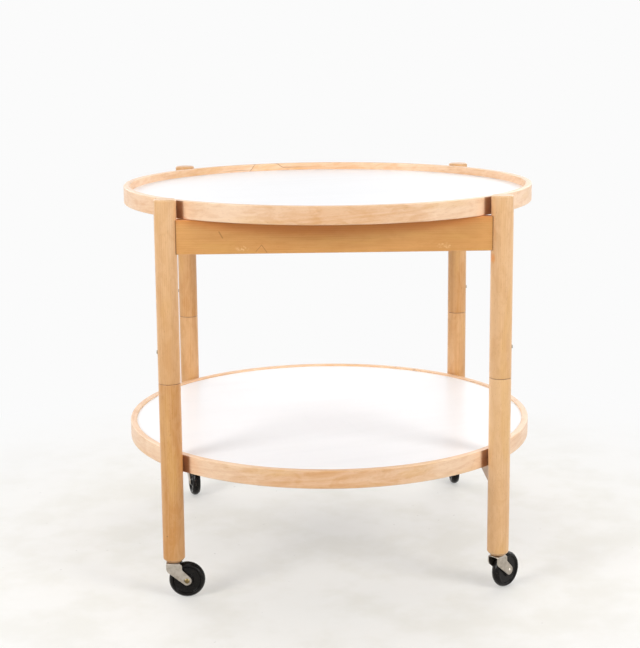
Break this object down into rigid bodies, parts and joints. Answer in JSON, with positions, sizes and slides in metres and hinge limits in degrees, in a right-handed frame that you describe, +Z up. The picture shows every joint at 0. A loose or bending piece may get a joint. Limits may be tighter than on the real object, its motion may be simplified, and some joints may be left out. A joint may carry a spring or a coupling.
{
  "type": "room service table",
  "caption": "Round two-tier service table: lift-off white laminate trays with wooden rims inside round wooden legs on swivel casters.",
  "frame": {"origin": "on the floor under the middle of the table", "axes": "+Z up, +X to the right seen from the front, -Y to the front; the upper rails run along X and the side rails along Y"},
  "size_m": [0.6499, 0.65, 0.6],
  "materials": {
    "leg_wood": "clear lacquered beech, warm honey colour",
    "rail_wood": "clear lacquered beech, warm honey colour",
    "rim_wood": "bent laminated beech, pale, clear lacquered",
    "tenon_wood": "plain beech",
    "core_board": "pressed board",
    "white_laminate": "satin white laminate with light wear",
    "pin_steel": "turned steel",
    "screw_metal": "dull steel",
    "sleeve_steel": "zinc plated steel",
    "fork_steel": "dull zinc plated pressed steel",
    "rivet_metal": "tarnished brass coloured rivet",
    "wheel_plastic": "black moulded plastic, semi-matt"
  },
  "bodies": {
    "frame": {"upper_leg_front_left": "leg_wood", "lower_leg_front_left": "leg_wood", "pivot_pin_front_left": "pin_steel", "pivot_screw_front_left": "screw_metal", "upper_tenon_front_left": "tenon_wood", "lower_tenon_front_left": "tenon_wood", "caster_sleeve_front_left": "sleeve_steel", "caster_stem_front_left": "pin_steel", "upper_leg_front_right": "leg_wood", "lower_leg_front_right": "leg_wood", "pivot_pin_front_right": "pin_steel", "pivot_screw_front_right": "screw_metal", "upper_tenon_front_right": "tenon_wood", "lower_tenon_front_right": "tenon_wood", "caster_sleeve_front_right": "sleeve_steel", "caster_stem_front_right": "pin_steel", "upper_leg_back_left": "leg_wood", "lower_leg_back_left": "leg_wood", "pivot_pin_back_left": "pin_steel", "pivot_screw_back_left": "screw_metal", "upper_tenon_back_left": "tenon_wood", "lower_tenon_back_left": "tenon_wood", "caster_sleeve_back_left": "sleeve_steel", "caster_stem_back_left": "pin_steel", "upper_leg_back_right": "leg_wood", "lower_leg_back_right": "leg_wood", "pivot_pin_back_right": "pin_steel", "pivot_screw_back_right": "screw_metal", "upper_tenon_back_right": "tenon_wood", "lower_tenon_back_right": "tenon_wood", "caster_sleeve_back_right": "sleeve_steel", "caster_stem_back_right": "pin_steel", "upper_rail_front": "rail_wood", "upper_rail_back": "rail_wood", "lower_rail_left": "rail_wood", "lower_rail_right": "rail_wood"},
    "top_tray": {"top_tray_rim": "rim_wood", "top_tray_core": "core_board", "top_tray_laminate_up": "white_laminate", "top_tray_laminate_down": "white_laminate"},
    "lower_tray": {"lower_tray_rim": "rim_wood", "lower_tray_core": "core_board", "lower_tray_laminate_up": "white_laminate", "lower_tray_laminate_down": "white_laminate"},
    "caster_front_left": {"caster_fork_front_left": "fork_steel", "caster_axle_front_left": "rivet_metal"},
    "wheel_front_left": {"caster_wheel_front_left": "wheel_plastic"},
    "caster_front_right": {"caster_fork_front_right": "fork_steel", "caster_axle_front_right": "rivet_metal"},
    "wheel_front_right": {"caster_wheel_front_right": "wheel_plastic"},
    "caster_back_left": {"caster_fork_back_left": "fork_steel", "caster_axle_back_left": "rivet_metal"},
    "wheel_back_left": {"caster_wheel_back_left": "wheel_plastic"},
    "caster_back_right": {"caster_fork_back_right": "fork_steel", "caster_axle_back_right": "rivet_metal"},
    "wheel_back_right": {"caster_wheel_back_right": "wheel_plastic"}
  },
  "joints": [
    {"name": "top_tray_lift", "type": "slide", "parent": "frame", "child": "top_tray", "axis": [0, 0, 1], "range_m": [0, 0.12]},
    {"name": "lower_tray_lift", "type": "slide", "parent": "frame", "child": "lower_tray", "axis": [0, 0, 1], "range_m": [0, 0.3]},
    {"name": "swivel_front_left", "type": "hinge", "parent": "frame", "child": "caster_front_left", "pos_m": [-0.24307, -0.24307, 0.055], "axis": [0, 0, 1], "continuous": true},
    {"name": "roll_front_left", "type": "hinge", "parent": "caster_front_left", "child": "wheel_front_left", "pos_m": [-0.22447, -0.24307, 0.027], "axis": [0, 1, 0], "continuous": true},
    {"name": "swivel_front_right", "type": "hinge", "parent": "frame", "child": "caster_front_right", "pos_m": [0.24307, -0.24307, 0.055], "axis": [0, 0, 1], "continuous": true},
    {"name": "roll_front_right", "type": "hinge", "parent": "caster_front_right", "child": "wheel_front_right", "pos_m": [0.25667, -0.23038, 0.027], "axis": [-0.682, 0.7314, 0], "continuous": true},
    {"name": "swivel_back_left", "type": "hinge", "parent": "frame", "child": "caster_back_left", "pos_m": [-0.24307, 0.24307, 0.055], "axis": [0, 0, 1], "continuous": true},
    {"name": "roll_back_left", "type": "hinge", "parent": "caster_back_left", "child": "wheel_back_left", "pos_m": [-0.23857, 0.22502, 0.027], "axis": [0.9703, 0.2419, 0], "continuous": true},
    {"name": "swivel_back_right", "type": "hinge", "parent": "frame", "child": "caster_back_right", "pos_m": [0.24307, 0.24307, 0.055], "axis": [0, 0, 1], "continuous": true},
    {"name": "roll_back_right", "type": "hinge", "parent": "caster_back_right", "child": "wheel_back_right", "pos_m": [0.24274, 0.26167, 0.027], "axis": [-0.9998, -0.0175, 0], "continuous": true}
  ]
}
